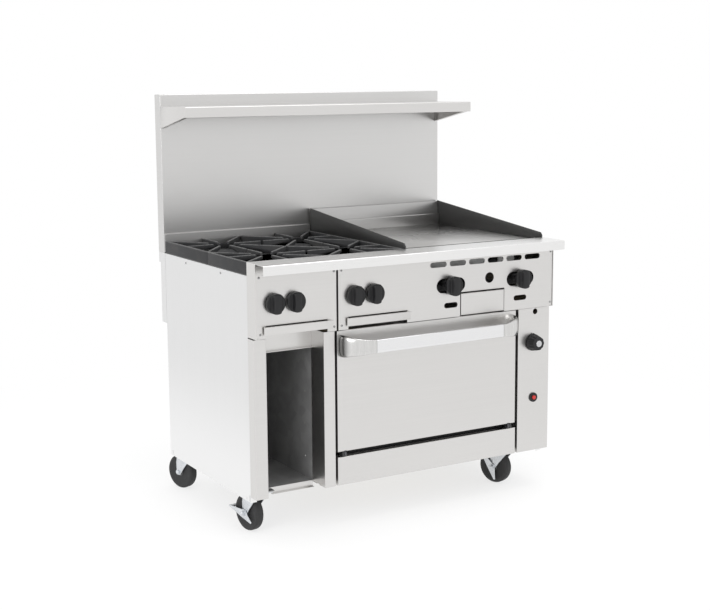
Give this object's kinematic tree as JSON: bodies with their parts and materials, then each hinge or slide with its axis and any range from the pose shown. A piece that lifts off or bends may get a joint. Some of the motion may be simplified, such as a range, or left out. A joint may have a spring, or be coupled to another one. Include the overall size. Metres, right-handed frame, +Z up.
{
  "type": "commercial gas range",
  "caption": "Wide restaurant gas range on casters: open burners and griddle above an oven and open cabinet, with back riser and high shelf.",
  "frame": {"origin": "on the floor, in the middle of the footprint (landing ledge to the back of the riser)", "axes": "+X to the right as the cook faces it, +Y from the cook towards the wall, +Z up"},
  "size_m": [1.2236, 0.864, 1.473],
  "materials": {
    "stainless_front": "fine horizontal brushed grain, satin",
    "stainless_side": "fine vertical brushed grain, satin",
    "stainless_riser": "brushed grain, satin",
    "galvanised": "plain galvanised sheet, dull",
    "aluminised": "aluminised sheet, dull",
    "screw_steel": "polished screw heads",
    "black_enamel": "black enamel, semi-gloss",
    "oven_enamel": "porcelain enamel, dark grey, semi-gloss",
    "mineral_wool": "mineral wool blanket",
    "rack_chrome": "bright plated wire",
    "gasket_fibre": "woven fibre gasket",
    "handle_steel": "polished tube and castings",
    "cast_iron": "seasoned cast iron, dull",
    "griddle_steel": "ground and polished plate",
    "griddle_guard_steel": "satin sheet",
    "valve_metal": "dark painted valves and pipe",
    "black_pipe": "black steel pipe",
    "knob_black": "black phenolic, satin",
    "button_red": "red plastic, glossy",
    "zinc_plate": "bright zinc plate",
    "wheel_rubber": "black resilient rubber"
  },
  "bodies": {
    "root": {"back_riser": "stainless_riser", "base_frame": "galvanised", "burner_bodies": "cast_iron", "burner_box": "aluminised", "burner_caps": "cast_iron", "cabinet_front": "stainless_front", "cabinet_liner": "galvanised", "caster_plates": "zinc_plate", "control_panels": "stainless_front", "control_strip": "stainless_front", "flue_box": "stainless_side", "gas_inlet": "black_pipe", "gas_manifold": "valve_metal", "grease_trough": "griddle_guard_steel", "griddle_burners": "aluminised", "griddle_guards": "griddle_guard_steel", "griddle_plate": "griddle_steel", "high_shelf": "stainless_front", "kick_panel": "stainless_front", "landing_ledge": "stainless_front", "oven_burner": "aluminised", "oven_cavity": "oven_enamel", "oven_floor_plate": "oven_enamel", "oven_front_frame": "black_enamel", "oven_insulation": "mineral_wool", "oven_racks": "rack_chrome", "oven_thermostat": "valve_metal", "panel_screws": "screw_steel", "rear_panel": "galvanised", "shelf_brackets": "stainless_front", "side_panels": "stainless_side"},
    "door": {"door_skin": "stainless_front", "door_liner": "oven_enamel", "door_gasket": "gasket_fibre", "door_handle": "handle_steel"},
    "oven_knob": {"oven_knob": "knob_black"},
    "igniter_button": {"igniter_button": "button_red"},
    "grease_drawer": {"grease_drawer": "stainless_front"},
    "knob_rear_left": {"knob_rear_left": "knob_black"},
    "knob_front_left": {"knob_front_left": "knob_black"},
    "knob_rear_right": {"knob_rear_right": "knob_black"},
    "knob_front_right": {"knob_front_right": "knob_black"},
    "griddle_knob_left": {"griddle_knob_left": "knob_black"},
    "griddle_knob_right": {"griddle_knob_right": "knob_black"},
    "crumb_tray_left": {"crumb_tray_left": "stainless_front"},
    "crumb_tray_right": {"crumb_tray_right": "stainless_front"},
    "grate_front_left": {"grate_front_left": "cast_iron"},
    "grate_front_right": {"grate_front_right": "cast_iron"},
    "grate_rear_left": {"grate_rear_left": "cast_iron"},
    "grate_rear_right": {"grate_rear_right": "cast_iron"},
    "caster_front_left": {"fork_front_left": "zinc_plate"},
    "wheel_front_left": {"wheel_front_left": "wheel_rubber"},
    "pedal_front_left": {"brake_pedal_front_left": "zinc_plate"},
    "caster_rear_left": {"fork_rear_left": "zinc_plate"},
    "wheel_rear_left": {"wheel_rear_left": "wheel_rubber"},
    "caster_front_right": {"fork_front_right": "zinc_plate"},
    "wheel_front_right": {"wheel_front_right": "wheel_rubber"},
    "pedal_front_right": {"brake_pedal_front_right": "zinc_plate"},
    "caster_rear_right": {"fork_rear_right": "zinc_plate"},
    "wheel_rear_right": {"wheel_rear_right": "wheel_rubber"}
  },
  "joints": [
    {"name": "door_hinge", "type": "hinge", "parent": "root", "child": "door", "pos_m": [0, -0.346, 0.255], "axis": [1, 0, 0], "range_deg": [0, 90]},
    {"name": "knob_rear_left_turn", "type": "hinge", "parent": "root", "child": "knob_rear_left", "pos_m": [-0.5396, -0.388, 0.804], "axis": [0, -1, 0], "range_deg": [0, 90]},
    {"name": "knob_front_left_turn", "type": "hinge", "parent": "root", "child": "knob_front_left", "pos_m": [-0.4646, -0.388, 0.804], "axis": [0, -1, 0], "range_deg": [0, 90]},
    {"name": "knob_rear_right_turn", "type": "hinge", "parent": "root", "child": "knob_rear_right", "pos_m": [-0.2356, -0.388, 0.804], "axis": [0, -1, 0], "range_deg": [0, 90]},
    {"name": "knob_front_right_turn", "type": "hinge", "parent": "root", "child": "knob_front_right", "pos_m": [-0.1606, -0.388, 0.804], "axis": [0, -1, 0], "range_deg": [0, 90]},
    {"name": "griddle_knob_left_turn", "type": "hinge", "parent": "root", "child": "griddle_knob_left", "pos_m": [0.1559, -0.398, 0.804], "axis": [0, -1, 0], "range_deg": [0, 90]},
    {"name": "griddle_knob_right_turn", "type": "hinge", "parent": "root", "child": "griddle_knob_right", "pos_m": [0.4594, -0.398, 0.804], "axis": [0, -1, 0], "range_deg": [0, 90]},
    {"name": "oven_knob_turn", "type": "hinge", "parent": "root", "child": "oven_knob", "pos_m": [0.5334, -0.368, 0.558], "axis": [0, -1, 0], "range_deg": [0, 270]},
    {"name": "igniter_press", "type": "slide", "parent": "root", "child": "igniter_button", "axis": [0, 1, 0], "range_m": [0, 0.004], "stiffness_N_per_m": 600},
    {"name": "crumb_tray_left_slide", "type": "slide", "parent": "root", "child": "crumb_tray_left", "axis": [0, -1, 0], "range_m": [0, 0.55]},
    {"name": "crumb_tray_right_slide", "type": "slide", "parent": "root", "child": "crumb_tray_right", "axis": [0, -1, 0], "range_m": [0, 0.55]},
    {"name": "grease_drawer_slide", "type": "slide", "parent": "root", "child": "grease_drawer", "axis": [0, -1, 0], "range_m": [0, 0.33]},
    {"name": "grate_front_left_lift", "type": "slide", "parent": "root", "child": "grate_front_left", "axis": [0, 0, 1], "range_m": [0, 0.15]},
    {"name": "grate_front_right_lift", "type": "slide", "parent": "root", "child": "grate_front_right", "axis": [0, 0, 1], "range_m": [0, 0.15]},
    {"name": "grate_rear_left_lift", "type": "slide", "parent": "root", "child": "grate_rear_left", "axis": [0, 0, 1], "range_m": [0, 0.15]},
    {"name": "grate_rear_right_lift", "type": "slide", "parent": "root", "child": "grate_rear_right", "axis": [0, 0, 1], "range_m": [0, 0.15]},
    {"name": "caster_front_left_swivel", "type": "hinge", "parent": "root", "child": "caster_front_left", "pos_m": [-0.5606, -0.245, 0.135], "axis": [0, 0, 1], "continuous": true},
    {"name": "wheel_front_left_roll", "type": "hinge", "parent": "caster_front_left", "child": "wheel_front_left", "pos_m": [-0.56668, -0.21053, 0.0635], "axis": [0.9848, 0.1736, 0], "continuous": true},
    {"name": "brake_front_left", "type": "hinge", "parent": "caster_front_left", "child": "pedal_front_left", "pos_m": [-0.56668, -0.21053, 0.0635], "axis": [0.9848, 0.1736, 0], "range_deg": [0, 43]},
    {"name": "caster_rear_left_swivel", "type": "hinge", "parent": "root", "child": "caster_rear_left", "pos_m": [-0.5606, 0.316, 0.135], "axis": [0, 0, 1], "continuous": true},
    {"name": "wheel_rear_left_roll", "type": "hinge", "parent": "caster_rear_left", "child": "wheel_rear_left", "pos_m": [-0.57257, 0.34889, 0.0635], "axis": [0.9397, 0.342, 0], "continuous": true},
    {"name": "caster_front_right_swivel", "type": "hinge", "parent": "root", "child": "caster_front_right", "pos_m": [0.4854, -0.245, 0.135], "axis": [0, 0, 1], "continuous": true},
    {"name": "wheel_front_right_roll", "type": "hinge", "parent": "caster_front_right", "child": "wheel_front_right", "pos_m": [0.47458, -0.21171, 0.0635], "axis": [0.9511, 0.309, 0], "continuous": true},
    {"name": "brake_front_right", "type": "hinge", "parent": "caster_front_right", "child": "pedal_front_right", "pos_m": [0.47458, -0.21171, 0.0635], "axis": [-0.9511, -0.309, 0], "range_deg": [0, 43]},
    {"name": "caster_rear_right_swivel", "type": "hinge", "parent": "root", "child": "caster_rear_right", "pos_m": [0.4854, 0.316, 0.135], "axis": [0, 0, 1], "continuous": true},
    {"name": "wheel_rear_right_roll", "type": "hinge", "parent": "caster_rear_right", "child": "wheel_rear_right", "pos_m": [0.47812, 0.35024, 0.0635], "axis": [0.9781, 0.2079, 0], "continuous": true}
  ]
}
